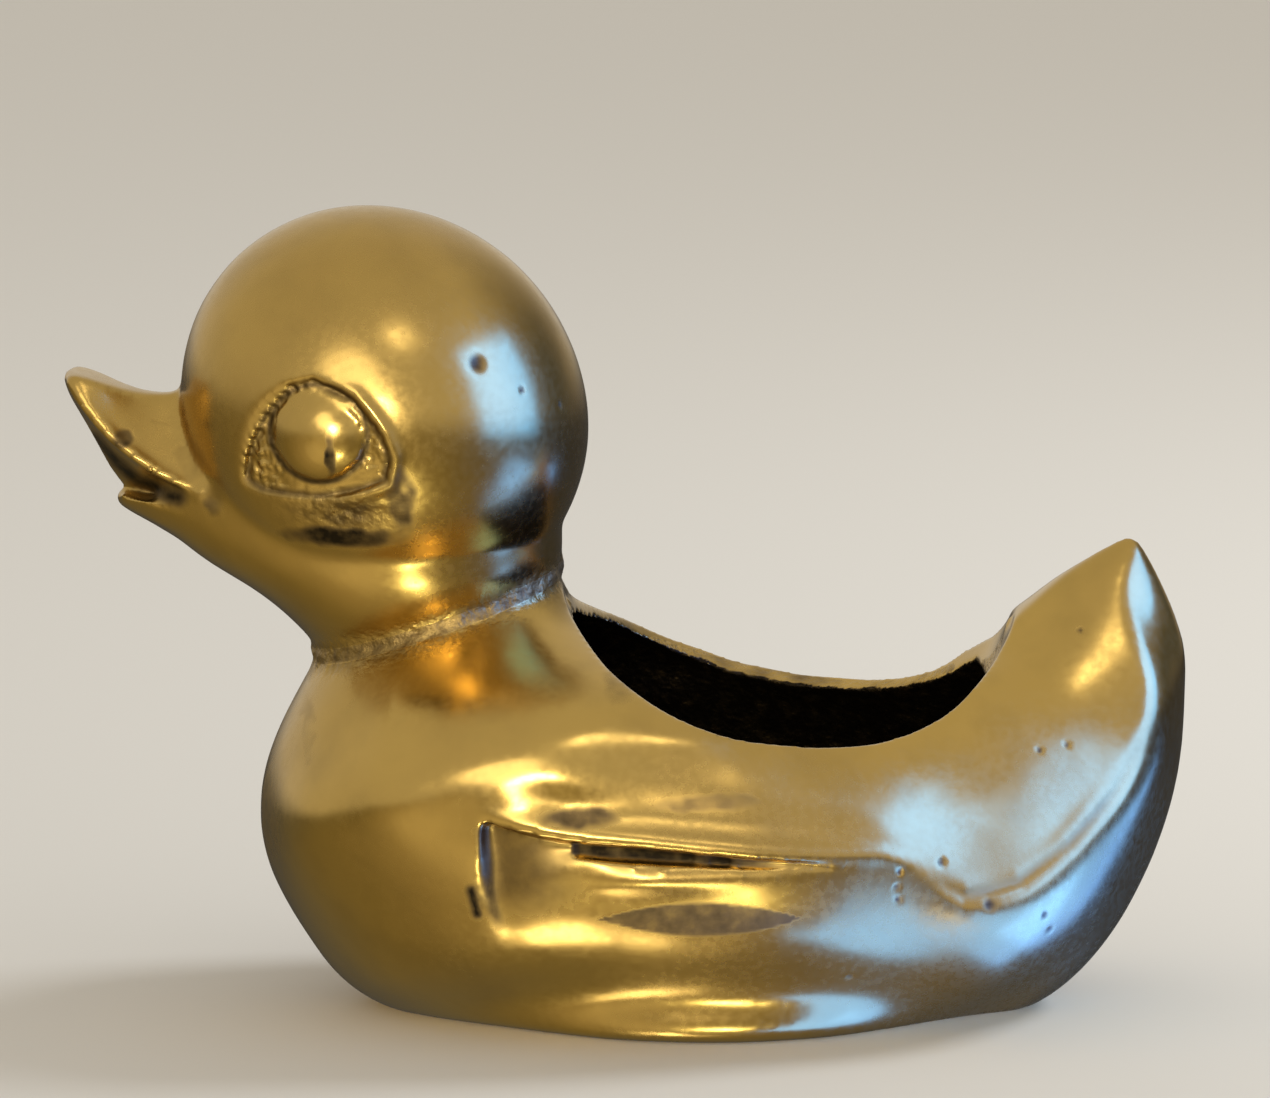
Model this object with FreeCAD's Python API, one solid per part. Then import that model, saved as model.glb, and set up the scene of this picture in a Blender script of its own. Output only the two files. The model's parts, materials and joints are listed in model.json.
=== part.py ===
import FreeCAD, Part
import math
import os

# A hollow cast brass duckling whose open back makes it a small dish or planter.
# It faces -X, its tail points to +X, +Z is up, and the origin is the middle of the flat foot.
# Body and head are each cast as two mirrored halves; brazing joins the halves and the neck.

V = FreeCAD.Vector

# Driving sizes in millimetres
wall = 3.0
floor = 3.2
seam = 0.8
bead = 1.7
rim_slope = 0.42
groove_reach = 4.0
groove_fade = 0.1

# The head is a ball drawn out a little from the forehead to the nape.
head_centre = V(-36.8, 0, 91.8)
head_long = 32.2
head_short = 29.6
head_side = 30.0
head_lean = 45.0

# The eye is a flat bottomed socket with a domed eyeball in it.
eye_x = -46.9
eye_z = 91.2
eye_radius = 7.2
eye_rise = 1.1
socket_depth = 1.1

# Each section of the body stands on a line from the outer outline (breast, keel, rump)
# to the inner outline (nape, saddle, top of the tail), both given as (x, z).
# Its side follows as (share of that line, half width): three points of the hull,
# the point on the wing edge, three points of the wing.
body_sections = [
    [(-46.8, 54.8), (-10.8, 67.2),
     (0.06, 8.5), (0.20, 14.4), (0.35, 17.2), (0.50, 18.0), (0.65, 17.2), (0.80, 14.4), (0.94, 8.5)],
    [(-50.6, 47.6), (-8.9, 63.6),
     (0.06, 11.8), (0.20, 19.9), (0.35, 24.2), (0.50, 25.4), (0.65, 24.3), (0.80, 20.6), (0.94, 12.6)],
    [(-54.8, 38.0), (-4.0, 59.8),
     (0.045, 12.8), (0.16, 23.6), (0.31, 31.0), (0.49, 34.6), (0.66, 34.0), (0.83, 28.6), (0.95, 18.8)],
    [(-56.0, 29.0), (4.0, 57.0),
     (0.03, 12.5), (0.12, 26.0), (0.28, 36.3), (0.47, 41.0), (0.64, 41.0), (0.80, 37.5), (0.928, 29.3)],
    [(-54.2, 20.5), (10.0, 55.5),
     (0.03, 12.0), (0.12, 25.5), (0.29, 37.3), (0.51, 43.0), (0.66, 43.0), (0.80, 39.8), (0.907, 33.6)],
    [(-49.0, 10.8), (15.0, 54.0),
     (0.035, 11.5), (0.13, 25.0), (0.31, 38.0), (0.545, 44.3), (0.67, 43.8), (0.80, 40.5), (0.906, 35.8)],
    [(-40.5, 1.5), (19.0, 53.0),
     (0.04, 12.0), (0.14, 25.5), (0.33, 38.6), (0.598, 45.0), (0.70, 44.0), (0.81, 40.5), (0.908, 36.2)],
    [(-26.0, -3.0), (22.0, 52.5),
     (0.054, 17.1), (0.17, 27.6), (0.35, 39.3), (0.618, 45.2), (0.71, 44.0), (0.81, 40.6), (0.90, 35.4)],
    [(-5.0, -4.0), (25.0, 52.3),
     (0.071, 28.8), (0.19, 32.6), (0.36, 40.3), (0.615, 45.0), (0.71, 43.5), (0.805, 39.8), (0.893, 34.2)],
    [(15.0, -4.0), (27.5, 52.2),
     (0.071, 31.5), (0.19, 33.8), (0.36, 40.2), (0.605, 44.0), (0.70, 42.4), (0.79, 38.7), (0.88, 33.0)],
    [(33.0, -4.0), (30.5, 52.3),
     (0.071, 26.0), (0.19, 30.8), (0.36, 38.0), (0.60, 41.8), (0.69, 40.2), (0.785, 36.8), (0.876, 31.3)],
    [(50.0, -3.0), (34.0, 52.5),
     (0.054, 13.5), (0.17, 25.5), (0.34, 34.6), (0.57, 38.6), (0.67, 37.4), (0.775, 34.2), (0.875, 28.8)],
    [(63.5, 0.8), (38.0, 53.0),
     (0.08, 14.5), (0.19, 26.0), (0.32, 33.6), (0.47, 34.3), (0.60, 33.4), (0.74, 30.6), (0.87, 25.5)],
    [(73.5, 10.3), (43.0, 54.0),
     (0.07, 13.0), (0.17, 22.5), (0.29, 28.6), (0.41, 29.0), (0.55, 28.6), (0.71, 26.0), (0.866, 21.3)],
    [(80.7, 23.8), (49.0, 55.5),
     (0.06, 9.5), (0.16, 17.5), (0.27, 22.3), (0.37, 22.4), (0.50, 22.6), (0.70, 21.0), (0.905, 16.3)],
    [(84.3, 37.0), (56.0, 58.5),
     (0.05, 7.0), (0.12, 11.8), (0.19, 14.8), (0.26, 16.3), (0.42, 16.6), (0.62, 15.5), (0.82, 12.0)],
    [(85.1, 49.0), (63.5, 64.2),
     (0.05, 5.0), (0.12, 8.5), (0.20, 10.8), (0.30, 12.2), (0.45, 11.6), (0.63, 10.2), (0.82, 7.5)],
    [(83.5, 60.0), (70.0, 68.8),
     (0.10, 2.6), (0.25, 4.2), (0.42, 5.2), (0.60, 5.8), (0.70, 5.2), (0.80, 4.3), (0.90, 2.9)],
    [(79.8, 68.4), (74.8, 71.7),
     (0.10, 0.9), (0.25, 1.5), (0.42, 1.9), (0.60, 2.1), (0.70, 1.9), (0.80, 1.5), (0.90, 1.0)],
    [(78.3, 71.2), (76.4, 72.5),
     (0.10, 0.3), (0.25, 0.5), (0.42, 0.7), (0.60, 0.7), (0.70, 0.6), (0.80, 0.5), (0.90, 0.3)],
]
smooth_sections = 5

# The rim of the opening: x, half width, z
rim_line = [
    (-8.4, 0.0, 62.5), (-6.9, 10.5, 60.8), (-4.1, 19.3, 58.0), (-0.8, 26.9, 55.2), (4.6, 33.4, 51.9),
    (11.1, 36.2, 48.9), (17.2, 35.7, 47.0), (24.0, 33.8, 45.9), (31.0, 31.2, 45.2), (38.0, 27.6, 45.4),
    (44.6, 23.2, 47.3), (50.0, 18.6, 50.5), (54.5, 11.8, 55.0), (57.0, 5.5, 58.1), (57.6, 0.0, 59.2),
]

# The pocket and groove under the wing edge: x, z of the edge, depth, height
groove_line = [
    (-21.4, 35.9, 1.7, 14.0), (-17.0, 34.9, 1.6, 11.0), (-11.0, 33.7, 1.6, 5.5), (-6.5, 32.9, 2.3, 2.8),
    (0.0, 32.2, 2.4, 2.7), (8.0, 31.3, 2.2, 2.6), (16.0, 30.4, 1.6, 2.3), (25.0, 29.7, 0.9, 1.8),
    (34.0, 29.2, 0.3, 1.1),
]

# Throat and neck, as ovals between an outer point and an inner point (x, z) with a half width
neck_ovals = [
    ((-46.8, 54.8), (-10.8, 67.2), 18.0),
    ((-52.3, 60.8), (-9.9, 73.5), 22.0),
    ((-59.5, 66.0), (-16.0, 87.0), 22.5),
    ((-67.0, 71.0), (-38.0, 96.0), 17.0),
    ((-74.0, 75.4), (-62.0, 92.0), 8.0),
]

# Upper bill: x, then z and half width of its flat top, z and half width of its lip, z of its underside
upper_bill = [
    (-57.0, 97.5, 1.5, 76.0, 12.0, 72.0),
    (-64.5, 95.2, 1.6, 80.6, 11.6, 75.5),
    (-70.5, 94.2, 2.0, 83.2, 10.6, 77.8),
    (-77.0, 95.5, 4.2, 87.6, 9.2, 80.3),
    (-81.0, 97.0, 6.0, 91.4, 7.9, 87.2),
    (-84.0, 97.7, 5.2, 95.0, 6.0, 92.6),
    (-85.2, 97.2, 2.2, 96.4, 2.6, 95.8),
]

# Lower bill: x, then z and half width of its lip, z of its underside
lower_bill = [
    (-60.0, 79.0, 12.0, 66.0),
    (-66.0, 78.4, 10.4, 70.2),
    (-70.5, 78.4, 8.8, 73.0),
    (-74.5, 79.0, 6.6, 75.3),
    (-77.2, 79.2, 3.4, 77.0),
    (-77.9, 79.0, 1.2, 78.0),
]

# Outline of the eye socket: x, z
socket_outline = [
    (-57.6, 84.6), (-57.0, 89.5), (-55.2, 94.8), (-52.0, 98.1), (-47.2, 99.6), (-42.8, 98.3), (-39.2, 94.4),
    (-36.8, 89.4), (-36.3, 85.6), (-39.6, 83.6), (-45.6, 82.4), (-52.0, 82.9),
]


def mirrored(shape):
    return shape.mirror(V(0, 0, 0), V(0, 1, 0))


def section_points(row, inset):
    # The points of a section; the crown keeps its top round between the last of them and the middle.
    outer = V(row[0][0], 0, row[0][1])
    inner = V(row[1][0], 0, row[1][1])
    along = V(inner).sub(outer)
    length = along.Length
    widest = max(half for share, half in row[2:])
    last_share, last_half = row[-1]
    crown = (1 - 0.28 * (1 - last_share), 0.6 * last_half)
    points = [(0.0, 0.0)] + list(row[2:]) + [crown, (1.0, 0.0)]
    placed = []
    for share, half in points:
        run = inset + share * (length - 2 * inset)
        side = half * (widest - inset) / widest
        placed.append(outer + along * (run / length) + V(0, side, 0))
    return placed


def through(points, start, end):
    tangents = [V(1, 0, 0)] * len(points)
    flags = [False] * len(points)
    if start is not None:
        tangents[0] = start
        flags[0] = True
    if end is not None:
        tangents[-1] = end
        flags[-1] = True
    curve = Part.BSplineCurve()
    curve.interpolate(
        Points=points,
        Parameters=[float(step) for step in range(len(points))],
        Tangents=tangents,
        TangentFlags=flags,
        Scale=True,
    )
    return curve


def side_curves(row, inset, smooth):
    # Hull and wing run into each other on the breast and meet in a crease behind it.
    points = section_points(row, inset)
    crossing = points[5].sub(points[3]) if smooth else None
    hull = through(points[:5], V(0, 1, 0), crossing)
    wing = through(points[4:], crossing, V(0, -1, 0))
    return hull, wing


def drawn_over(curves, steps):
    # A surface whose poles run smoothly from section to section.
    columns = [curve.getPoles() for curve in curves]
    rails = []
    for points in zip(*columns):
        rail = Part.BSplineCurve()
        rail.interpolate(Points=list(points), Parameters=steps)
        rails.append(rail)
    across = curves[0]
    along = rails[0]
    surface = Part.BSplineSurface()
    surface.buildFromPolesMultsKnots(
        [rail.getPoles() for rail in rails],
        across.getMultiplicities(), along.getMultiplicities(),
        across.getKnots(), along.getKnots(),
        False, False, across.Degree, along.Degree,
    )
    return surface.toShape(), rails[0].toShape(), rails[-1].toShape()


def end_face(hull, wing):
    closing = Part.makeLine(wing.EndPoint, hull.StartPoint)
    return Part.Face(Part.Wire([hull.toShape(), wing.toShape(), closing])), closing


def body_half_solid(insets):
    curves = [
        side_curves(body_sections[place], inset, place < smooth_sections)
        for place, inset in enumerate(insets)
    ]
    hulls = [hull for hull, wing in curves]
    wings = [wing for hull, wing in curves]
    steps = [0.0]
    for one, two in zip(wings, wings[1:]):
        steps.append(steps[-1] + two.StartPoint.sub(one.StartPoint).Length)
    hull_face, outer_edge, ridge = drawn_over(hulls, steps)
    wing_face, ridge, inner_edge = drawn_over(wings, steps)
    first_face, first_line = end_face(hulls[0], wings[0])
    last_face, last_line = end_face(hulls[-1], wings[-1])
    middle = Part.Face(Part.Wire([outer_edge, last_line, inner_edge, first_line]))
    shell = Part.Shell([hull_face, wing_face, middle, first_face, last_face])
    shell.sewShape()
    solid = Part.Solid(shell)
    if solid.Volume < 0:
        solid.reverse()
    return solid


def opening_cutter():
    # Everything above the rim face, which slopes down into the dish.
    edge = []
    middle = []
    last = len(rim_line) - 1
    for place, (x, half, z) in enumerate(rim_line):
        before = rim_line[max(place - 1, 0)]
        after = rim_line[min(place + 1, last)]
        out = V(before[1] - after[1], after[0] - before[0], 0)
        if place in (0, last):
            out = V(-1 if place == 0 else 1, 0, 0)
        out.normalize()
        spare = 1.2 + 0.6 * math.sin(math.pi * place / last)
        edge.append(V(x, half, z) + out * spare + V(0, 0, spare * rim_slope))
        middle.append(V(x, 0, z - half * rim_slope))
    face = Part.makeRuledSurface(through(edge, None, None).toShape(), through(middle, None, None).toShape())
    half = face.extrude(V(0, 0, 70))
    return half.fuse(mirrored(half)).removeSplitter()


def skin(solid, x, z):
    # Half width of a solid at one place of its side.
    line = Part.makeLine(V(x, 0, z), V(x, 80, z))
    return line.common(solid).BoundBox.YMax


def wing_groove(solid):
    # A wedge with its flat face up under the wing edge, its foot running out on the hull.
    wires = []
    for x, z, depth, height in groove_line:
        top = skin(solid, x, z)
        foot = skin(solid, x, z - height) + groove_fade
        corners = [V(x, top - depth, z), V(x, foot, z - height)]
        corners += [V(x, foot + groove_reach, z - height), V(x, top + groove_reach, z)]
        wires.append(Part.makePolygon(corners + corners[:1]))
    return Part.makeLoft(wires, True, False)


def body_shell():
    high = Part.makeBox(300, 100, 300, V(-150, 0, 0))
    inside = Part.makeBox(300, 100, 300, V(-150, 0, floor))
    outer = body_half_solid([0.0] * len(body_sections)).common(high)
    groove = wing_groove(outer)
    inner = body_half_solid([wall] * 13 + [wall * 1.1, wall * 1.4]).common(inside)  # the tail is solid
    half = outer.cut(groove).cut(inner)
    return half.cut(opening_cutter())


def oval(outer, inner, half, inset):
    start = V(outer[0], 0, outer[1])
    end = V(inner[0], 0, inner[1])
    centre = (start + end) * 0.5
    reach = end.sub(start) * 0.5
    reach = reach * ((reach.Length - inset) / reach.Length)
    points = []
    for step in range(16):
        turn = 2 * math.pi * step / 16
        points.append(centre + reach * math.cos(turn) + V(0, (half - inset) * math.sin(turn), 0))
    curve = Part.BSplineCurve()
    curve.interpolate(Points=points, PeriodicFlag=True)
    return Part.Wire([curve.toShape()])


def neck():
    return Part.makeLoft([oval(outer, inner, half, 0.0) for outer, inner, half in neck_ovals], True, False)


def ball(inset):
    matrix = FreeCAD.Matrix()
    matrix.scale(V(head_long - inset, head_side - inset, head_short - inset))
    shape = Part.makeSphere(1.0).transformGeometry(matrix)
    shape.rotate(V(0, 0, 0), V(0, 1, 0), head_lean)
    shape.translate(head_centre)
    return shape


def bill():
    upper = []
    for x, top, flat, lip, side, under in upper_bill:
        corners = [V(x, -flat, top), V(x, flat, top), V(x, side, lip), V(x, 0, under), V(x, -side, lip)]
        upper.append(Part.makePolygon(corners + corners[:1]))
    lower = []
    for x, lip, side, under in lower_bill:
        corners = [V(x, -side, lip), V(x, side, lip), V(x, side * 0.55, under * 0.7 + lip * 0.3)]
        corners += [V(x, 0, under), V(x, -side * 0.55, under * 0.7 + lip * 0.3)]
        lower.append(Part.makePolygon(corners + corners[:1]))
    return Part.makeLoft(upper, True, False).fuse(Part.makeLoft(lower, True, False))


def eye_socket():
    points = [V(x, -50, z) for x, z in socket_outline]
    curve = Part.BSplineCurve()
    curve.interpolate(Points=points, PeriodicFlag=True)
    face = Part.Face(Part.Wire([curve.toShape()]))
    return face.extrude(V(0, 40, 0)).cut(ball(socket_depth))


def eyeball():
    # A cap that stands up out of the socket, drawn on the outward line through its middle.
    out = V(eye_x, 0, eye_z).sub(head_centre)
    out.y = -math.sqrt(head_side ** 2 - out.x ** 2 - out.z ** 2)
    surface = out.Length
    out.normalize()
    height = eye_rise + socket_depth + eye_radius ** 2 / (2 * surface)
    radius = (eye_radius ** 2 + height ** 2) / (2 * height)
    shape = Part.makeSphere(radius)
    shape.translate(head_centre + out * (surface + eye_rise - radius))
    return shape


def neck_hollow():
    # The two lowest ovals only, drawn on downward so that head and body share one hollow.
    low = neck_ovals[0]
    below = ((low[0][0] + 0.65, low[0][1] - 1.9), (low[1][0] + 0.65, low[1][1] - 1.9), low[2])
    ovals = [below, low, neck_ovals[1]]
    return Part.makeLoft([oval(outer, inner, half, wall) for outer, inner, half in ovals], True, False)


def head_shell():
    sockets = eye_socket().fuse(mirrored(eye_socket()))
    globes = [eyeball(), mirrored(eyeball())]
    solid = ball(0.0).fuse([neck(), bill()]).cut(sockets).fuse(globes)
    return solid.cut(ball(wall).fuse(neck_hollow()))


def neck_bead():
    # A ring of brazing in the crease, as wide and as deep as the lowest neck oval.
    outer, inner, half = neck_ovals[0]
    centre = V((outer[0] + inner[0]) / 2, 0, (outer[1] + inner[1]) / 2)
    along = V(inner[0] - outer[0], 0, inner[1] - outer[1])
    shape = Part.makeTorus(along.Length / 2, bead / 2)
    matrix = FreeCAD.Matrix()
    matrix.scale(V(1.0, half / (along.Length / 2), 1.0))
    shape = shape.transformGeometry(matrix)
    shape.rotate(V(0, 0, 0), V(0, 1, 0), -math.degrees(math.atan2(along.z, along.x)))
    shape.translate(centre)
    return shape


def save(name, shape):
    print(name, len(shape.Solids), shape.isValid(), round(shape.Volume, 1))
    shape.exportStep("parts/" + name + ".step")


os.makedirs("parts", exist_ok=True)
side_room = Part.makeBox(400, 200, 400, V(-200, seam / 2, -100))
seam_slab = Part.makeBox(400, seam / 2, 400, V(-200, 0, -100))

bead_ring = neck_bead()
body_half = body_shell().cut(bead_ring)
body_side = body_half.common(side_room)
body_seam = body_half.common(seam_slab)
body_seam = body_seam.fuse(mirrored(body_seam)).removeSplitter()
nape_seam, keel_seam = sorted(body_seam.Solids, key=lambda solid: solid.Volume)
save("body_left_half", mirrored(body_side))
save("body_right_half", body_side)
save("body_seam_braze", keel_seam)

head_whole = head_shell().cut(bead_ring)
head_side_piece = head_whole.common(side_room)
save("head_left_half", mirrored(head_side_piece))
save("head_right_half", head_side_piece)
save("head_seam_braze", head_whole.cut(side_room).cut(mirrored(side_room)))

save("neck_braze", bead_ring.fuse(nape_seam))
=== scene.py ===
import itertools
import json
import math

import bpy
import numpy as np
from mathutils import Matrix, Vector

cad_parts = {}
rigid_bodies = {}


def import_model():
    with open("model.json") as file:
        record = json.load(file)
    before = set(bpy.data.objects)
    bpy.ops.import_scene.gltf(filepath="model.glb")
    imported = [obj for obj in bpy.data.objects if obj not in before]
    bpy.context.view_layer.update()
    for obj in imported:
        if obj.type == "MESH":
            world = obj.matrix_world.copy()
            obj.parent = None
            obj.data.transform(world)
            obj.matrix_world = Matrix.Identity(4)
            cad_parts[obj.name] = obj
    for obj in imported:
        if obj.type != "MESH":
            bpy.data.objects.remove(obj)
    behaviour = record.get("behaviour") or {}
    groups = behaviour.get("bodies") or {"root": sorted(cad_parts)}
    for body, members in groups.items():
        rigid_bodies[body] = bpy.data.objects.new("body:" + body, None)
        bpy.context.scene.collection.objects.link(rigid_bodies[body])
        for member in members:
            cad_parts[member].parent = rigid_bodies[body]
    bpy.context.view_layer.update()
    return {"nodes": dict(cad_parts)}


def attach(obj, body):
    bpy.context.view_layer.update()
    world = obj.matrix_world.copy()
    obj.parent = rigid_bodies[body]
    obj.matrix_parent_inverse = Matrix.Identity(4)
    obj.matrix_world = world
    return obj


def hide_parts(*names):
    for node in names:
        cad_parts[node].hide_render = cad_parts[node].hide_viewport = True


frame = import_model()


# The skin of the whole duckling: sand cast brass about 3 mm thick, hollow, open at the back.
# Castings and brazing were filed and buffed as one surface, so they are shaped here as one skin
# and parted afterwards where the real castings meet. Up to the parting, lengths are millimetres.
CASTINGS = ["body_left_half", "body_right_half", "body_seam_braze", "head_left_half",
            "head_right_half", "head_seam_braze", "neck_braze"]
MM = 1000
GRAIN = 0.6
RUB_STEPS = 10
FAR = 1e9


def only(obj):
    bpy.ops.object.select_all(action="DESELECT")
    obj.select_set(True)
    bpy.context.view_layer.objects.active = obj


def use(obj, kind, **settings):
    only(obj)
    modifier = obj.modifiers.new(kind, kind)
    for name, value in settings.items():
        setattr(modifier, name, value)
    bpy.ops.object.modifier_apply(modifier=modifier.name)


def read(block, name):
    values = np.empty(len(block) * 3, np.float32)
    block.foreach_get(name, values)
    return values.reshape(-1, 3).astype(float)


def places(obj):
    return read(obj.data.vertices, "co") * MM


def facing(obj):
    return read(obj.data.vertex_normals, "vector")


def put(obj, points):
    obj.data.vertices.foreach_set("co", (points / MM).astype(np.float32).ravel())
    obj.data.update()


def one_side(points):
    # Both sides of the duckling laid over its left side, so that a mark is given once.
    return points * np.where(points[:, 1:2] > 0, [[1, -1, 1]], [[1, 1, 1]])


def from_line(points, line):
    # Distance of each point to a line drawn through a few places.
    best = np.full(len(points), FAR)
    for one, two in zip(line, line[1:]):
        one = np.array(one, float)
        run = np.array(two, float) - one
        share = np.clip((points - one) @ run / (run @ run), 0, 1)
        best = np.minimum(best, np.linalg.norm(points - one - share[:, None] * run, axis=1))
    return best


def from_place(points, place):
    return np.linalg.norm(points - place, axis=1)


def bump(distance, width):
    # 1 at no distance, fading away over the width.
    return np.exp(-(distance / width) ** 2)


def soften(obj, weights, rounds):
    # Rubs the surface down, more where the weight is higher.
    made = obj.vertex_groups.new(name="rub")
    steps = np.rint(np.clip(weights, 0, 1) * RUB_STEPS).astype(int)
    for step in range(1, RUB_STEPS + 1):
        members = np.nonzero(steps == step)[0].tolist()
        if members:
            made.add(members, step / RUB_STEPS, "REPLACE")
    use(obj, "SMOOTH", factor=0.5, iterations=rounds, vertex_group="rub")
    obj.vertex_groups.clear()


bpy.ops.object.select_all(action="DESELECT")
for node in CASTINGS:
    frame["nodes"][node].select_set(True)
bpy.context.view_layer.objects.active = frame["nodes"][CASTINGS[0]]
bpy.ops.object.duplicate()
bpy.ops.object.join()
skin = bpy.context.object
skin.name = "skin"
skin.parent = None
bpy.ops.object.mode_set(mode="EDIT")
bpy.ops.mesh.select_all(action="SELECT")
bpy.ops.mesh.remove_doubles(threshold=0.00001)
bpy.ops.object.mode_set(mode="OBJECT")
use(skin, "REMESH", mode="VOXEL", voxel_size=GRAIN / MM, use_smooth_shade=True)

rim_edge = [(-8.4, 0, 62.5), (-4.1, -19.3, 58.0), (-0.8, -26.9, 55.2), (4.6, -33.4, 51.9),
            (11.1, -36.2, 48.9), (17.2, -35.7, 47.0), (24.0, -33.8, 45.9), (31.0, -31.2, 45.2),
            (38.0, -27.6, 45.4), (44.6, -23.2, 47.3), (50.0, -18.6, 50.5), (54.5, -11.8, 55.0),
            (57.6, 0, 59.2)]
wing_edge = [(-21.4, -43.4, 36.0), (-16.0, -44.3, 34.6), (-10.0, -45.0, 33.4), (-4.0, -45.3, 32.9),
             (2.0, -45.3, 32.5), (10.0, -45.1, 31.7), (20.0, -44.4, 30.6), (29.0, -42.6, 29.9),
             (38.0, -39.7, 29.2), (43.0, -38.0, 27.8)]
bill_edge = [(-84.9, 0, 96.8), (-84.0, -5.6, 96.5), (-81.0, -7.5, 92.5), (-77.0, -9.0, 88.0),
             (-70.5, -10.6, 83.2), (-64.5, -11.6, 80.6)]

near = one_side(places(skin))
crisp = np.maximum.reduce([
    bump(from_line(near, rim_edge), 3.0),
    0.85 * bump(from_line(near, wing_edge), 2.6),
    0.9 * bump(from_line(near, bill_edge), 1.6),
])
soften(skin, 1 - crisp, 24)


# The places with small forms get a finer mesh before they are worked: wing edge, rim, eyes, bill, neck.
# Each distance is divided by how far the finer mesh reaches there.
neck_line = [(-46.9, 0, 54.9), (-41.0, -12.3, 57.0), (-29.0, -17.8, 61.0), (-17.0, -12.3, 65.0),
             (-10.8, 0, 67.2)]
neck_side = [(-41.0, -12.3, 57.0), (-33.0, -17.5, 60.0), (-20.0, -15.5, 64.0)]
bill_middle = [(-85, 0, 95), (-62, 0, 80)]
eye_middle = (-46.0, -29.4, 91.8)
near = one_side(places(skin))
fine = np.minimum.reduce([
    from_line(near, wing_edge[:9]) / 4.5,
    from_line(near, rim_edge) / 3.2,
    from_place(near, eye_middle) / 15.0,
    from_line(near, bill_middle) / 15.0,
    from_line(near, neck_line) / 4.5,
    from_line(near, neck_side) / 6.0,
]) < 1
only(skin)
skin.data.polygons.foreach_set("select", [False] * len(skin.data.polygons))
skin.data.edges.foreach_set("select", [False] * len(skin.data.edges))
skin.data.vertices.foreach_set("select", fine)
bpy.ops.object.mode_set(mode="EDIT")
bpy.ops.mesh.select_mode(type="VERT")
bpy.ops.mesh.subdivide(number_cuts=1, smoothness=0)
bpy.ops.object.mode_set(mode="OBJECT")
soften(skin, np.full(len(skin.data.vertices), 0.6), 3)


# Wing edge: a rounded lip that overhangs a groove, and below it a hollow pocket with a steep front.
# The neck's crease lies in a plane that leans forward; the body is hollow below it, the head above.
NECK_MIDDLE = (-28.8, 0, 61.0)
NECK_UP = (-0.3257, 0, 0.9456)
HEAD_MIDDLE = (-36.8, 0, 91.8)
HOLLOW_FRONT = -25
HOLLOW_BACK = 50
HOLLOW_HEIGHT = 33
BILL_ROOT = -63
BROAD_SIDE = 36
INWARD = -0.3
LIP_HIGH = 0.35
POCKET_DEEP = 0.7
POCKET_BACK = 9.5
BULGE_HIGH = 0.8
SADDLE_DEEP = 1.0
CREASE_DEEP = 0.45


def smooth(value, low, high):
    # 0 below low, 1 above high, with a soft step between them.
    share = np.clip((value - low) / (high - low), 0, 1)
    return share * share * (3 - 2 * share)


def above_neck(points):
    return (points - NECK_MIDDLE) @ NECK_UP


def looks_inward(points, directions):
    # True where the surface faces the hollow of the body or of the head.
    x = points[:, 0]
    middle = np.stack([np.clip(x, HOLLOW_FRONT, HOLLOW_BACK), x * 0, x * 0 + HOLLOW_HEIGHT], axis=1)
    middle[above_neck(points) > 0] = HEAD_MIDDLE
    out = points - middle
    out /= np.linalg.norm(out, axis=1)[:, None]
    wide = np.abs(points[:, 1]) > BROAD_SIDE
    turned_in = directions[:, 1] * np.sign(points[:, 1]) < INWARD
    hollow_part = (x > BILL_ROOT) & (turned_in | ~wide)
    return ((out * directions).sum(axis=1) < INWARD) & hollow_part


def survey():
    # Where the skin's points are, the same on the left side, where they face, and which lie outside.
    points = places(skin)
    out = facing(skin)
    return points, one_side(points), out, ~looks_inward(points, out)


def along(x, line, part):
    # The width or the height of a line at each x.
    return np.interp(x, [place[0] for place in line], [place[part] for place in line])


def below_wing(near):
    return along(near[:, 0], wing_edge, 2) - near[:, 2]


def groove_height(x):
    return np.interp(x, [-8, -2, 6, 14, 26], [2.0, 2.2, 2.0, 1.7, 1.1])


def on_flank(near):
    return near[:, 1] < -30


def pocket_front(z):
    return -21.6 + np.interp(z, [18, 24, 36], [2.6, 1.2, 0.0])


points, near, out, outside = survey()
x = near[:, 0]
z = near[:, 2]
side = outside & on_flank(near)
under = below_wing(near)
along_lip = smooth(x, -24, -16) * (1 - smooth(x, 36, 46))
lip = LIP_HIGH * along_lip * bump(under + 1.2, 1.3)
groove_deep = np.interp(x, [-8.2, -7.0, -2, 20, 26, 31], [0, 0.6, 0.7, 0.7, 0.5, 0])
groove_high = groove_height(x)
in_groove = smooth(under, -0.15, 0.45) * (1 - smooth(under, groove_high * 0.75, groove_high * 1.35))
behind_front = x - pocket_front(z)
pocket = POCKET_DEEP * smooth(behind_front, -0.8, 1.8)
pocket *= np.exp(-np.clip(behind_front, 0, None) / POCKET_BACK)
pocket *= smooth(z, 15.5, 25.5) * smooth(under, -0.2, 0.7)
bulge = BULGE_HIGH * bump((x - 3) / 9, 1.0) * bump(z - 27.2, 1.9)
saddle = SADDLE_DEEP * smooth(x, -20, -8) * (1 - smooth(x, 22, 40)) * bump(under + 5.2, 3.0)
moved = side * (lip - groove_deep * in_groove - pocket + bulge - saddle)
crease_line = [(45.2, -37.2, 26.1), (50.5, -35.7, 23.2), (58.9, -31.6, 25.0), (66.5, -26.6, 29.7),
               (74.0, -19.9, 36.6), (77.5, -16.0, 42.0), (79.0, -14.2, 46.3)]
crease = outside * CREASE_DEEP * bump(from_line(near, crease_line), 1.2)
crease = crease * smooth(x, 44, 52) * (1 - smooth(x, 72, 80))
put(skin, points + out * (moved - crease)[:, None])
soften(skin, 0.7 * side * bump(under, 5) * along_lip, 2)
soften(skin, side * bump(behind_front, 2.2) * smooth(z, 14, 20) * smooth(under, 0.2, 1.5), 14)


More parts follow.
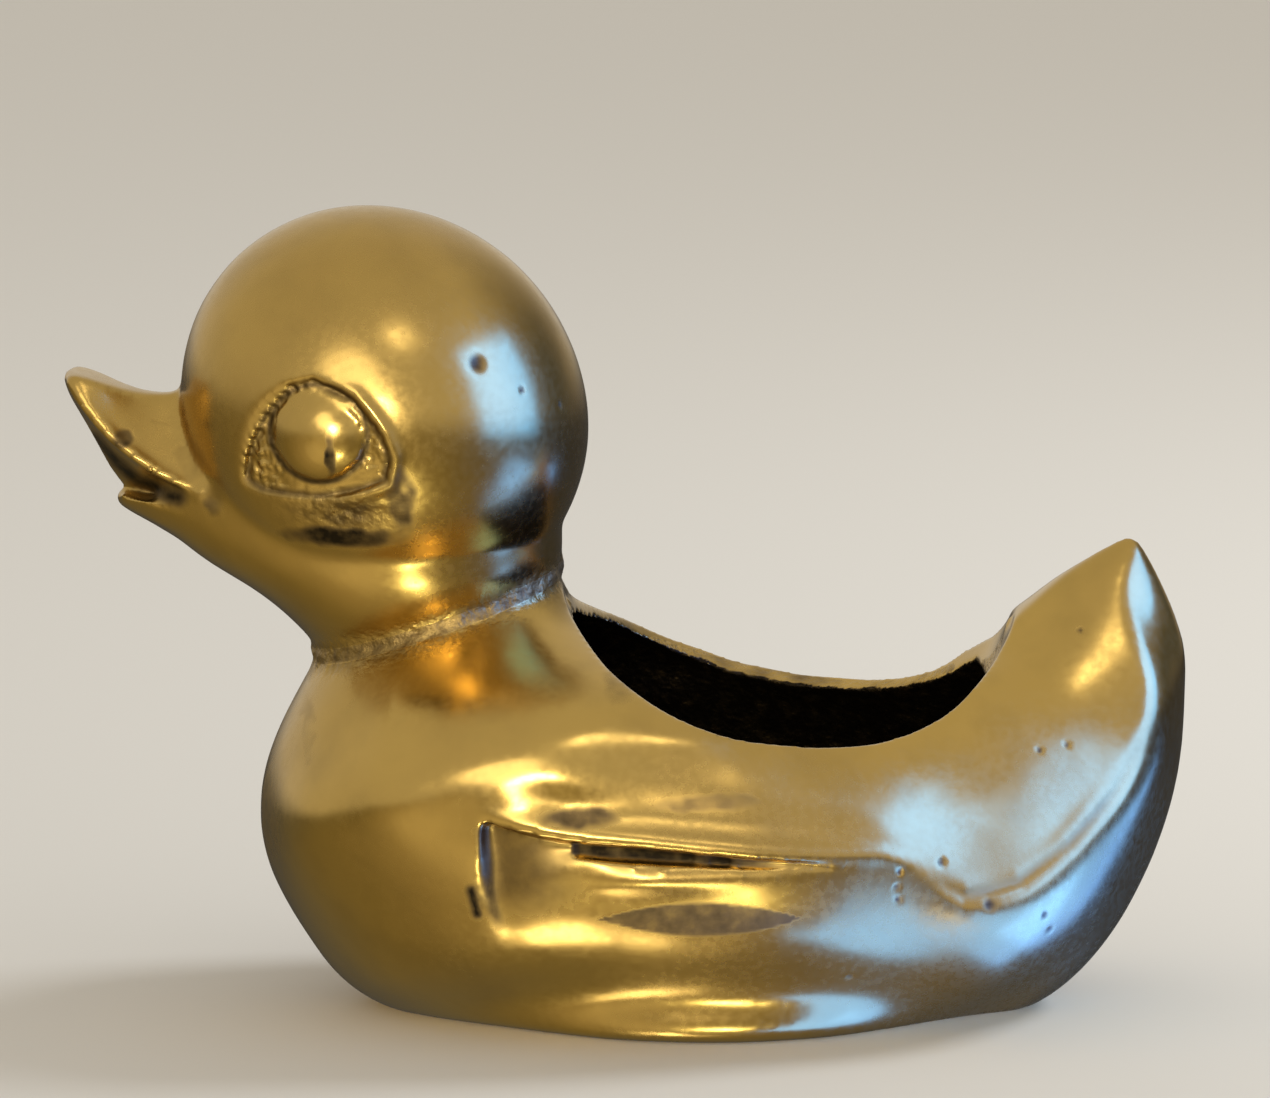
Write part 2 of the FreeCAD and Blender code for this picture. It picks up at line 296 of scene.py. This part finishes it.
# Eyes: a crumbly cast border round a smooth dome, with a smooth lower lid and a raised outer corner.
# Below each eye the casting has a rough scar, and the front of the border stands out in small beads.
EYE_X = -46.4
EYE_Z = 90.0
DOME_X = -46.0
DOME_Z = 91.9
LID_Z = 86.2
SCAR_X = -42.5
SCAR_Z = 79.8
SCAR_LONG = 7.4
SCAR_HIGH = 3.1
BEAD_HIGH = 0.42
BEAD_WIDE = 0.5
eye_outline = [(-57.0, 84.0), (-56.5, 87.8), (-54.1, 93.8), (-50.3, 98.5), (-46.9, 99.6), (-41.2, 97.4),
               (-38.8, 94.7), (-36.9, 92.0), (-35.6, 88.6), (-36.2, 85.3), (-39.1, 84.0), (-45.8, 82.4),
               (-50.4, 82.5), (-54.7, 82.8), (-57.0, 84.0)]
beads = [(-57.2, 86.6), (-56.9, 88.1), (-56.3, 89.5), (-55.9, 91.0), (-55.2, 92.3), (-54.5, 93.6),
         (-53.6, 94.8), (-52.6, 96.0), (-51.6, 97.1), (-50.4, 98.0), (-49.0, 98.7), (-47.6, 99.2),
         (-55.6, 85.2), (-54.6, 86.6), (-56.0, 84.0), (-54.4, 84.9), (-54.9, 88.3)]


def crumbs(points, size, seed):
    # Uneven bumps from -1 to 1, about size millimetres across.
    cells = 64
    rng = np.random.default_rng(seed)
    total = np.zeros(len(points))
    for octave, strength in ((1.0, 0.6), (2.1, 0.4)):
        table = rng.uniform(-1, 1, (cells, cells, cells))
        place = points * octave / size
        cell = np.floor(place).astype(int)
        part = place - cell
        part = part * part * (3 - 2 * part)
        for corner in itertools.product((0, 1), repeat=3):
            share = np.abs(1 - np.array(corner) - part).prod(axis=1)
            total += strength * share * table[tuple(((cell + corner) % cells).T)]
    return total


def from_drawn(near, line):
    # Distance, seen from the side, to a line of lengths and heights.
    return from_line(near * [1, 0, 1], [(x, 0, z) for x, z in line])


def beside_eye(near):
    return (near[:, 1] < -14) & (near[:, 2] > 74)


def from_dome(near):
    return np.hypot(near[:, 0] - DOME_X, near[:, 2] - DOME_Z)


def scar_below_eye(near):
    return bump(np.hypot((near[:, 0] - SCAR_X) / SCAR_LONG, (near[:, 2] - SCAR_Z) / SCAR_HIGH), 1.0)


def in_outline(near):
    # 1 inside the eye's outline and 0 outside it.
    outline_x = np.array([x for x, z in eye_outline[:-1]]) - EYE_X
    outline_z = np.array([z for x, z in eye_outline[:-1]]) - EYE_Z
    around = np.arctan2(near[:, 2] - EYE_Z, near[:, 0] - EYE_X)
    reach = np.interp(around, np.arctan2(outline_z, outline_x), np.hypot(outline_z, outline_x),
                      period=2 * math.pi)
    return 1 - smooth(np.hypot(near[:, 2] - EYE_Z, near[:, 0] - EYE_X) / reach, 0.93, 1.03)


points, near, out, outside = survey()
eye_side = outside & beside_eye(near)
border = from_drawn(near, eye_outline)
inside_eye = in_outline(near)
dome = 1 - smooth(from_dome(near), 6.3, 7.4)
lower_lid = smooth(LID_Z - near[:, 2], -0.8, 1.6)
crumbly = inside_eye * (1 - dome) * (1 - 0.85 * lower_lid * smooth(near[:, 0], -54, -50))
crumbly = np.maximum(crumbly, 0.9 * bump(border, 0.7) * (1 - lower_lid))
raised = 0.45 * bump(border - 1.1, 1.0) * (1 - inside_eye) * smooth(near[:, 0], -46, -38)
moved = crumbly * (0.42 * crumbs(points, 1.25, 4) - 0.18) + raised
moved -= 0.25 * bump(from_dome(near) - 7.6, 0.7) * inside_eye
moved -= 0.35 * bump(border, 0.55)
for bead_x, bead_z in beads:
    moved += BEAD_HIGH * bump(np.hypot(near[:, 0] - bead_x, near[:, 2] - bead_z), BEAD_WIDE)
moved += scar_below_eye(near) * (0.42 * crumbs(points, 1.6, 9) - 0.30)
put(skin, points + out * (eye_side * moved)[:, None])


# Bill: the lip of the upper bill is polished round, with a dent above it and a deep corner of the mouth.
mouth_corner = (-63.5, -14.5, 80.0)
bill_dent = [(-78.4, -6.0, 89.5), (-76.0, -7.2, 88.0)]
points, near, out, outside = survey()
bill = outside & (near[:, 0] < -58)
moved = 0.38 * bump(from_line(near, bill_edge[1:]), 1.2)
moved -= 0.45 * bump(from_line(near, bill_dent), 1.1)
moved -= 0.9 * bump(from_place(near, mouth_corner), 1.4)
put(skin, points + out * (bill * moved)[:, None])


# Neck: brazing left as it flowed, in lumps that were never filed.
def at_neck(near):
    return (near[:, 0] > -52) & (near[:, 0] < -6)


points, near, out, outside = survey()
from_crease = np.abs(above_neck(points))
weld = outside & at_neck(near)
lumps = bump(from_crease - 0.6 * crumbs(points, 6.0, 3), 1.5)
moved = lumps * (0.45 + 0.55 * crumbs(points, 3.2, 5))
moved += 0.10 * bump(from_crease, 2.6) * crumbs(points, 1.3, 6)
put(skin, points + out * (weld * moved)[:, None])


# Pits and knocks of both sides, and the unevenness of a surface buffed by hand.
# Each pit has its place, its width and its depth. The hollow keeps the sand's roughness; the foot is flat.
pits = [((-22.2, -24.0, 102.1), 1.3, 0.9), ((-15.7, -20.7, 97.6), 0.5, 0.4),
        ((-10.1, -14.3, 94.4), 0.5, 0.4), ((47.0, -35.6, 28.5), 0.6, 0.7),
        ((40.7, -38.7, 27.6), 0.5, 0.5), ((40.2, -38.7, 25.3), 0.45, 0.4),
        ((40.4, -38.3, 23.4), 0.45, 0.4), ((62.7, -29.3, 19.2), 0.6, 0.4),
        ((63.6, -27.1, 16.5), 0.6, 0.4), ((54.3, -34.6, 21.8), 0.9, 0.4),
        ((33.4, -33.8, 10.5), 0.5, 0.4), ((68.6, -9.5, 59.3), 0.5, 0.4),
        ((62.1, -21.7, 43.0), 0.45, 0.35), ((66.3, -20.0, 43.5), 0.45, 0.35),
        ((-14.0, 27.0, 99.0), 0.8, 0.5), ((-48.0, 24.0, 108.0), 0.6, 0.4),
        ((-30.0, 39.0, 22.0), 0.9, 0.5), ((28.0, 40.0, 18.0), 0.7, 0.5),
        ((58.0, 33.0, 30.0), 0.8, 0.5), ((12.0, 42.0, 38.5), 0.6, 0.4)]
points, near, out, outside = survey()
moved = np.zeros(len(points))
for place, width, deep in pits:
    moved -= 0.6 * deep * bump(from_place(points, place), 0.8 * width)
moved += 0.10 * crumbs(points, 17.0, 11) + 0.035 * crumbs(points, 6.0, 12)
points += out * (outside * moved)[:, None]
points += out * (~outside * 0.25 * crumbs(points, 2.5, 13))[:, None]
points[:, 2] = np.maximum(points[:, 2], 0.0)
put(skin, points)


# Tarnish lies where the buff never reached: in the hollow, on the rim's face, in creases and pits.
# The same attribute also carries painted shade and painted dark reflections, each marked below.
# Each stain has its middle as seen from the side, half its length, half its height and its strength.
RIM_SLOPE = 0.42
ALMOND_X = 11.0
ALMOND_Z = 21.2
ALMOND_LONG = 15.2
ALMOND_HIGH = 2.9
# Some stains are painted dark reflections: the upright line in the eye's dome, the band below the eye and
# the darker lower breast. The one at the mouth's corner is painted shade.
stains_and_painted_reflections = [((-7.0, 36.7), 6.0, 1.7, 0.80), ((12.0, 38.6), 8.0, 1.4, 0.50), ((-1.0, 54.8), 3.0, 3.0, 0.30),
          ((-21.6, 24.6), 1.6, 2.8, 0.45), ((-9.0, 31.8), 1.6, 1.2, 0.40), ((-44.0, 89.0), 0.95, 3.5, 0.95),
          ((-42.9, 75.9), 8.4, 1.8, 1.10), ((-33.5, 81.5), 2.3, 5.8, 0.80), ((-56.0, 30.0), 4.0, 9.0, 0.25),
          ((-76.4, 88.3), 1.7, 1.5, 0.85), ((-70.0, 92.0), 3.0, 2.4, 0.30), ((-66.0, 85.5), 2.6, 4.0, 0.25),
          ((-62.5, 79.0), 1.6, 2.0, 0.60), ((-48.0, 45.0), 1.6, 5.0, 0.22)]
mouth_line = [(-80.6, 87.6), (-77.0, 84.0), (-74.0, 81.2), (-68.0, 79.6)]
# A dark upright slot in front of the pocket, painted only; the surface isn't dented there.
dark_slot_line = [(-23.2, 25.3), (-22.3, 21.4)]


def keep(obj, name, values):
    made = obj.data.attributes.new(name, "FLOAT", "POINT")
    made.data.foreach_set("value", values.astype(np.float32))


points, near, out, outside = survey()
x = near[:, 0]
z = near[:, 2]
side = outside & on_flank(near)
eye_side = outside & beside_eye(near)
weld = outside & at_neck(near)
under = below_wing(near)
behind_front = x - pocket_front(z)
from_crease = np.abs(above_neck(points))
scar = scar_below_eye(near)

rim_half = sorted(rim_edge + [(-6.9, -10.5, 0), (57.0, -5.5, 0)])
within = near[:, 1] - along(x, rim_half, 1)
on_face = np.abs(z - (along(x, rim_edge, 2) - RIM_SLOPE * within)) < 1.2
rim_face = outside & on_face & (x > -9) & (x < 58.5) & (within > 0.25) & (z > 40)

groove_high = groove_height(x)
# Painted shade in the groove under the wing's lip.
groove = side * smooth(under, 0.1, 0.6) * (1 - smooth(under, groove_high * 0.8, groove_high * 1.2))
groove *= smooth(x, -8.8, -7.8) * (1 - smooth(x, 14, 27))
# Painted shade along the pocket's steep front.
pocket_front_shade = side * bump(behind_front - 0.2, 1.3) * smooth(z, 17, 23) * smooth(under, 0.2, 1.5)
pocket_shade = side * smooth(x, -21.6, -19.8) * (1 - smooth(x, -15, -1))
pocket_shade *= smooth(z, 17, 27) * smooth(under, 0, 0.8)
crease_shade = outside * bump(from_line(near, crease_line), 1.0)
crease_shade *= smooth(x, 46, 54) * (1 - smooth(x, 70, 80))

# The almond below the wing is a painted dark reflection, kept in the tarnish attribute.
almond_half = ALMOND_HIGH * (1 - ((x - ALMOND_X) / ALMOND_LONG) ** 2)
almond_reflection = np.abs(z - ALMOND_Z) / np.maximum(almond_half, 0.01)
almond_reflection = side * (1 - smooth(almond_reflection, 0.8, 1.1)) * (np.abs(x - ALMOND_X) < ALMOND_LONG - 0.1)

ragged = 0.9 * crumbs(points, 2.6, 26)
stain_and_reflection = np.zeros(len(points))
for (stain_x, stain_z), wide, high, strength in stains_and_painted_reflections:
    spot = np.hypot((x - stain_x + ragged) / wide, (z - stain_z + 0.6 * ragged) / high)
    stain_and_reflection = np.maximum(stain_and_reflection, strength * (1 - smooth(spot, 0.5, 1.35)) * (near[:, 1] < -5))
dark = np.zeros(len(points))
for place, width, deep in pits:
    dark = np.maximum(dark, bump(from_place(points, place), width))

tarnish_and_painted_shade = np.maximum.reduce([
    ~outside * 1.0,
    rim_face * (0.22 + 0.40 * crumbs(points, 3.0, 21)),
    # painted shade in the groove under the lip
    groove * 0.95,
    eye_side * 0.6 * bump(from_drawn(near, eye_outline), 0.8),
    # painted shade in the groove round the eye's dome
    eye_side * 0.75 * bump(from_dome(near) - 7.4, 0.6),
    eye_side * scar * (0.62 + 0.35 * crumbs(points, 2.0, 24)),
    weld * 0.6 * bump(from_crease, 2.2) * (0.7 + 0.5 * crumbs(points, 2.0, 22)),
    # painted dark reflection: the almond below the wing
    almond_reflection * (0.66 + 0.1 * crumbs(points, 1.2, 23)),
    # stains, some of them painted reflections and shade
    stain_and_reflection * (0.9 + 0.4 * crumbs(points, 2.4, 25)) * outside,
    0.35 * crease_shade,
    dark * 0.95,
    # painted shade along the mouth's line and in the mouth's corner
    0.95 * bump(from_drawn(near, mouth_line), 1.7) * (x < -64) * outside,
    0.7 * bump(from_place(near, mouth_corner), 2.4),
    # painted dark slot in front of the pocket
    1.0 * bump(from_drawn(near, dark_slot_line), 0.85) * side,
    # painted shade along the pocket's front
    0.80 * pocket_front_shade,
    0.50 * pocket_shade,
])
rough = np.maximum.reduce([
    ~outside * 1.0,
    rim_face * 0.8,
    weld * 0.7 * bump(from_crease, 2.4),
    eye_side * 0.6 * scar,
])
keep(skin, "tarnish_and_painted_shade", np.clip(tarnish_and_painted_shade, 0, 1))
keep(skin, "rough", np.clip(rough, 0, 1))


# The hollow shows only through the opening, so its mesh is thinned.
hollow = looks_inward(places(skin), facing(skin))
thin = skin.vertex_groups.new(name="thin")
thin.add(np.nonzero(hollow)[0].tolist(), 1.0, "REPLACE")
use(skin, "DECIMATE", ratio=0.66, vertex_group="thin")
skin.vertex_groups.clear()


# Parting: the castings meet at the mid plane and at the neck, with 0.8 mm of brazing between
# the halves and 2.2 mm of it round the neck. From here on, lengths are metres.
SEAM = 0.0004
WELD = 0.0011
LONG = 0.2
WIDE = 0.1
NECK_LEAN = math.atan2(-NECK_UP[0], NECK_UP[2])
CRISP_ANGLE = math.radians(50)


def block(low, high, lean=0.0):
    # A room from low to high; a leaning one is laid along the neck's crease.
    middle = [(one + two) / 2 for one, two in zip(low, high)]
    bpy.ops.object.select_all(action="DESELECT")
    bpy.ops.mesh.primitive_cube_add(size=1, location=middle)
    made = bpy.context.object
    made.scale = [two - one for one, two in zip(low, high)]
    bpy.ops.object.transform_apply(location=True, rotation=True, scale=True)
    if lean:
        made.location = [value / MM for value in NECK_MIDDLE]
        made.rotation_euler = (0, -lean, 0)
        bpy.ops.object.transform_apply(location=True, rotation=True, scale=True)
    return made


rooms = {
    "left": block((-LONG, -WIDE, -WIDE), (LONG, -SEAM, LONG)),
    "right": block((-LONG, SEAM, -WIDE), (LONG, WIDE, LONG)),
    "middle": block((-LONG, -SEAM, -WIDE), (LONG, SEAM, LONG)),
    "above": block((-LONG, -WIDE, WELD), (LONG, WIDE, LONG), NECK_LEAN),
    "below": block((-LONG, -WIDE, -LONG), (LONG, WIDE, -WELD), NECK_LEAN),
    "neck": block((-LONG, -WIDE, -WELD), (LONG, WIDE, WELD), NECK_LEAN),
}


def piece(name, *within):
    only(skin)
    bpy.ops.object.duplicate()
    made = bpy.context.object
    made.name = name
    for room in within:
        use(made, "BOOLEAN", operation="INTERSECT", object=rooms[room], solver="FAST")
    only(made)
    bpy.ops.object.shade_smooth_by_angle(angle=CRISP_ANGLE)
    return made


# Brass, buffed by hand and aged: golden, a little cloudy, brown where tarnish was left and where shade is
# painted.
# The colours below go from clean brass to the black of the deepest tarnish; the brown and the black also
# paint the shade and dark reflections that the tarnish attribute carries.
CLEAN_BRASS = (0.52, 0.345, 0.095)
FILMED_BRASS = (0.34, 0.215, 0.065)
MOTTLED_BRASS = (0.30, 0.20, 0.060)
BROWN_TARNISH_AND_SHADE = (0.16, 0.105, 0.04)
BLACK_TARNISH_AND_SHADE = (0.022, 0.016, 0.009)
NECK_BRASS = (0.46, 0.31, 0.10)
POLISH = 0.16
NECK_POLISH = 0.24


def give(tree, value, socket):
    # A socket takes a number, a colour or the result of another node.
    if isinstance(value, bpy.types.NodeSocket):
        tree.links.new(value, socket)
    elif isinstance(value, tuple):
        socket.default_value = value + (1,)
    else:
        socket.default_value = value


def noise(tree, where, scale, detail):
    node = tree.nodes.new("ShaderNodeTexNoise")
    give(tree, scale, node.inputs["Scale"])
    give(tree, detail, node.inputs["Detail"])
    give(tree, where, node.inputs["Vector"])
    return node.outputs["Fac"]


def fit(tree, value, low, high, to_low, to_high):
    node = tree.nodes.new("ShaderNodeMapRange")
    give(tree, value, node.inputs["Value"])
    give(tree, low, node.inputs["From Min"])
    give(tree, high, node.inputs["From Max"])
    give(tree, to_low, node.inputs["To Min"])
    give(tree, to_high, node.inputs["To Max"])
    return node.outputs["Result"]


def reckon(tree, kind, one, two):
    node = tree.nodes.new("ShaderNodeMath")
    node.operation = kind
    node.use_clamp = True
    give(tree, one, node.inputs[0])
    give(tree, two, node.inputs[1])
    return node.outputs["Value"]


def blend(tree, amount, one, two):
    node = tree.nodes.new("ShaderNodeMix")
    node.data_type = "RGBA"
    give(tree, amount, node.inputs["Factor"])
    give(tree, one, node.inputs[6])
    give(tree, two, node.inputs[7])
    return node.outputs[2]


def kept(tree, name):
    node = tree.nodes.new("ShaderNodeAttribute")
    node.attribute_name = name
    return node.outputs["Fac"]


def brass_finish(name, clean, polish):
    made = bpy.data.materials.new(name)
    made.use_nodes = True
    tree = made.node_tree
    shader = tree.nodes["Principled BSDF"]
    give(tree, 1.0, shader.inputs["Metallic"])
    where = tree.nodes.new("ShaderNodeTexCoord").outputs["Object"]
    cloud = noise(tree, where, 26, 4)
    mottle = noise(tree, where, 110, 6)
    patch = noise(tree, where, 420, 4)
    speck = noise(tree, where, 900, 3)
    sand = noise(tree, where, 1100, 5)

    broken = reckon(tree, "MULTIPLY", kept(tree, "tarnish_and_painted_shade"), fit(tree, patch, 0.3, 0.62, 0.86, 1.08))
    colour = blend(tree, fit(tree, cloud, 0.40, 0.70, 0.0, 0.48), clean, FILMED_BRASS)
    colour = blend(tree, fit(tree, mottle, 0.45, 0.75, 0.0, 0.30), colour, MOTTLED_BRASS)
    colour = blend(tree, fit(tree, broken, 0.12, 0.62, 0.0, 1.0), colour, BROWN_TARNISH_AND_SHADE)
    colour = blend(tree, fit(tree, broken, 0.62, 1.0, 0.0, 1.0), colour, BLACK_TARNISH_AND_SHADE)
    give(tree, colour, shader.inputs["Base Color"])

    hazy = fit(tree, cloud, 0.35, 0.7, polish, polish + 0.10)
    dull = reckon(tree, "ADD", hazy, fit(tree, speck, 0.35, 0.65, 0.0, 0.06))
    dull = reckon(tree, "ADD", dull, fit(tree, broken, 0.05, 0.9, 0.0, 0.34))
    give(tree, dull, shader.inputs["Roughness"])

    fine_bump = tree.nodes.new("ShaderNodeBump")
    give(tree, 0.03, fine_bump.inputs["Strength"])
    give(tree, 0.0002, fine_bump.inputs["Distance"])
    give(tree, speck, fine_bump.inputs["Height"])
    cast_bump = tree.nodes.new("ShaderNodeBump")
    give(tree, reckon(tree, "MULTIPLY", kept(tree, "rough"), 0.8), cast_bump.inputs["Strength"])
    give(tree, 0.0006, cast_bump.inputs["Distance"])
    give(tree, sand, cast_bump.inputs["Height"])
    give(tree, fine_bump.outputs["Normal"], cast_bump.inputs["Normal"])
    give(tree, cast_bump.outputs["Normal"], shader.inputs["Normal"])
    return made


def hand_in(part, node, finish):
    part.data.materials.clear()
    part.data.materials.append(finish)
    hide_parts(node)
    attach(part, "root")


# Left half of the body: one sand casting from the breast to the tip of the tail, with the left wing.
# It is brazed to the right half along the middle and to the head at the neck.
cast_brass = brass_finish("cast_brass", CLEAN_BRASS, POLISH)
body_left = piece("body_left", "left", "below")
hand_in(body_left, "body_left_half", cast_brass)


# Right half of the body: the mirror image of the left casting, from the same kind of mould.
# Its own pits and knocks were left when the mould was filled.
body_right = piece("body_right", "right", "below")
hand_in(body_right, "body_right_half", cast_brass)


# Left half of the head: a thin cast shell with the left half of the bill, which is solid, and the eye.
# It is brazed to the right half of the head and sits on the neck's brazing.
head_left = piece("head_left", "left", "above")
hand_in(head_left, "head_left_half", cast_brass)


# Right half of the head: the mirror image of the left one, with the other eye and half of the bill.
# It is held by the same two lines of brazing.
head_right = piece("head_right", "right", "above")
hand_in(head_right, "head_right_half", cast_brass)


# Brazing along the middle of the body: 0.8 mm of brass that joins the two halves under the belly,
# up the breast and round the tail. It is filed flush and polished until it can hardly be seen.
seam_brass = brass_finish("seam_brass", CLEAN_BRASS, POLISH)
body_seam = piece("body_seam", "middle", "below")
only(body_seam)
bpy.ops.mesh.separate(type="LOOSE")
nape = [part for part in bpy.context.selected_objects if part.bound_box[6][0] < 0]
hand_in(body_seam, "body_seam_braze", seam_brass)


# Brazing along the middle of the head and the bill: the same filed and polished line of brass.
# It ends at the neck's brazing in front and behind.
head_seam = piece("head_seam", "middle", "above")
hand_in(head_seam, "head_seam_braze", seam_brass)


# Neck: a ring of brazing, 2.2 mm wide, that joins head and body and was left rough as it flowed.
# A short run of it at the nape closes the seam behind the neck.
neck_brass = brass_finish("neck_brass", NECK_BRASS, NECK_POLISH)
neck_weld = piece("neck_weld", "neck")
only(neck_weld)
for part in nape:
    part.select_set(True)
bpy.ops.object.join()
hand_in(neck_weld, "neck_braze", neck_brass)

for old in [skin] + list(rooms.values()):
    bpy.data.objects.remove(old)


# Floor: a plain pale sheet. The brass doesn't mirror it; it mirrors the table top of the room below.
bpy.ops.mesh.primitive_plane_add(size=20, location=(0, 0, 0))
floor = bpy.context.object
floor.name = "floor"
floor.visible_glossy = False
plain = bpy.data.materials.new("plain_floor")
plain.use_nodes = True
plain.node_tree.nodes["Principled BSDF"].inputs["Base Color"].default_value = (0.70, 0.675, 0.64, 1)
plain.node_tree.nodes["Principled BSDF"].inputs["Roughness"].default_value = 0.9
floor.data.materials.append(plain)


# Light: a warm lamp and a softbox near the camera, and a blue window at the right with its mirror image
# in the table top. Small lamps below stand for the table's glints, so the floor doesn't shade them.
WARM = (1.0, 0.95, 0.85)
MIDDLE = (0, 0, 0.07)
CAMERA_LAMP = (-0.06, -1.2, 0.25)


def gather(name, members):
    made = bpy.data.collections.new(name)
    for member in members:
        made.objects.link(member)
    return made


def light(name, place, target, size, colour, energy, on):
    bpy.ops.object.light_add(type="AREA", location=place)
    made = bpy.context.object
    made.name = name
    made.rotation_euler = (Vector(target) - Vector(place)).to_track_quat("-Z", "Y").to_euler()
    made.data.shape = "DISK" if size[0] == size[1] else "RECTANGLE"
    made.data.size = size[0]
    made.data.size_y = size[1]
    made.data.color = colour
    made.data.energy = energy
    made.light_linking.receiver_collection = on
    made.light_linking.blocker_collection = duckling


body = gather("body", [body_left, body_right, body_seam])
head = gather("head", [head_left, head_right, head_seam, neck_weld])
duckling = gather("duckling", list(body.objects) + list(head.objects))
ground = gather("ground", [floor])

light("lamp", CAMERA_LAMP, MIDDLE, (0.22, 0.22), (1.0, 0.94, 0.80), 4.8, head)
light("lamp_on_body", CAMERA_LAMP, MIDDLE, (0.22, 0.22), (1.0, 0.93, 0.78), 3.0, body)
light("softbox", (-0.33, -1.0, 0.52), MIDDLE, (0.60, 0.60), WARM, 2.2, duckling)
light("high_lamp", (0.21, -0.73, 0.93), MIDDLE, (0.24, 0.24), WARM, 0.5, duckling)
light("window", (0.58, -0.16, 0.26), MIDDLE, (0.46, 0.50), (0.035, 0.18, 1.0), 7.0, duckling)
light("window_in_table", (0.545, 0.03, -0.297), (0.03, -0.02, 0.03), (0.50, 0.42),
      (0.05, 0.18, 1.0), 5.0, duckling)
light("window_by_tail", (0.097, -0.053, -0.032), (0.056, -0.033, 0.015), (0.095, 0.096),
      (0.05, 0.19, 1.0), 0.24, body)
light("glint_on_foot", (-0.095, -0.20, -0.45), (0, -0.033, 0.008), (0.09, 0.15),
      (1.0, 0.95, 0.80), 0.28, body)
light("glint_on_jaw", (0.066, -0.825, -0.520), (-0.032, -0.022, 0.068), (0.17, 0.17),
      (1.0, 1.0, 0.72), 1.9, duckling)
light("daylight", (0.75, 0.30, 0.62), (0, 0, 0), (0.35, 0.35), (0.90, 0.95, 1.0), 5.0, ground)


# Room: pale walls with a dark corner behind the tail, and below the horizon a brown table top,
# brightest in front on the left.
world = bpy.data.worlds.new("room")
world.use_nodes = True
tree = world.node_tree
looking = tree.nodes.new("ShaderNodeTexCoord").outputs["Generated"]


def fade(direction, stops):
    # A colour for each cosine of the angle from one direction.
    turned = tree.nodes.new("ShaderNodeVectorMath")
    turned.operation = "DOT_PRODUCT"
    turned.inputs[1].default_value = direction
    give(tree, looking, turned.inputs[0])
    ramp = tree.nodes.new("ShaderNodeValToRGB")
    marks = ramp.color_ramp.elements
    while len(marks) < len(stops):
        marks.new(0.5)
    for number, (cosine, colour) in enumerate(stops):
        marks[number].position = (cosine + 1) / 2
        marks[number].color = colour + (1,)
    give(tree, fit(tree, turned.outputs["Value"], -1.0, 1.0, 0.0, 1.0), ramp.inputs["Fac"])
    return ramp.outputs["Color"]


walls = fade((0.85, 0.50, 0.14), [
    (0.70, (0.74, 0.70, 0.62)), (0.92, (0.30, 0.28, 0.25)), (0.99, (0.12, 0.13, 0.15))])
table = fade((-0.433, -0.75, -0.50), [
    (-0.5, (0.06, 0.06, 0.06)), (0.0, (0.20, 0.18, 0.12)), (0.6, (0.31, 0.26, 0.14)),
    (0.9, (0.52, 0.44, 0.28)), (1.0, (0.90, 0.80, 0.58))])
horizon = fade((0.0, 0.0, 1.0), [(-0.10, (0.0, 0.0, 0.0)), (0.04, (1.0, 1.0, 1.0))])
give(tree, blend(tree, horizon, table, walls), tree.nodes["Background"].inputs["Color"])
bpy.context.scene.world = world
bpy.context.scene.view_settings.view_transform = "Standard"


# Camera: at the photograph's angle, from the duckling's left side and nine degrees above.
CAMERA_HEIGHT = math.radians(9)
CAMERA_AWAY = 1.5
AIM_X = 0.0012
AIM_Z = 0.0702
bpy.ops.object.camera_add(location=(AIM_X, -CAMERA_AWAY * math.cos(CAMERA_HEIGHT),
                                    AIM_Z + CAMERA_AWAY * math.sin(CAMERA_HEIGHT)))
camera = bpy.context.object
camera.rotation_euler = (math.radians(90) - CAMERA_HEIGHT, 0, 0)
camera.data.lens = 279.4
camera.data.sensor_width = 36
bpy.context.scene.camera = camera
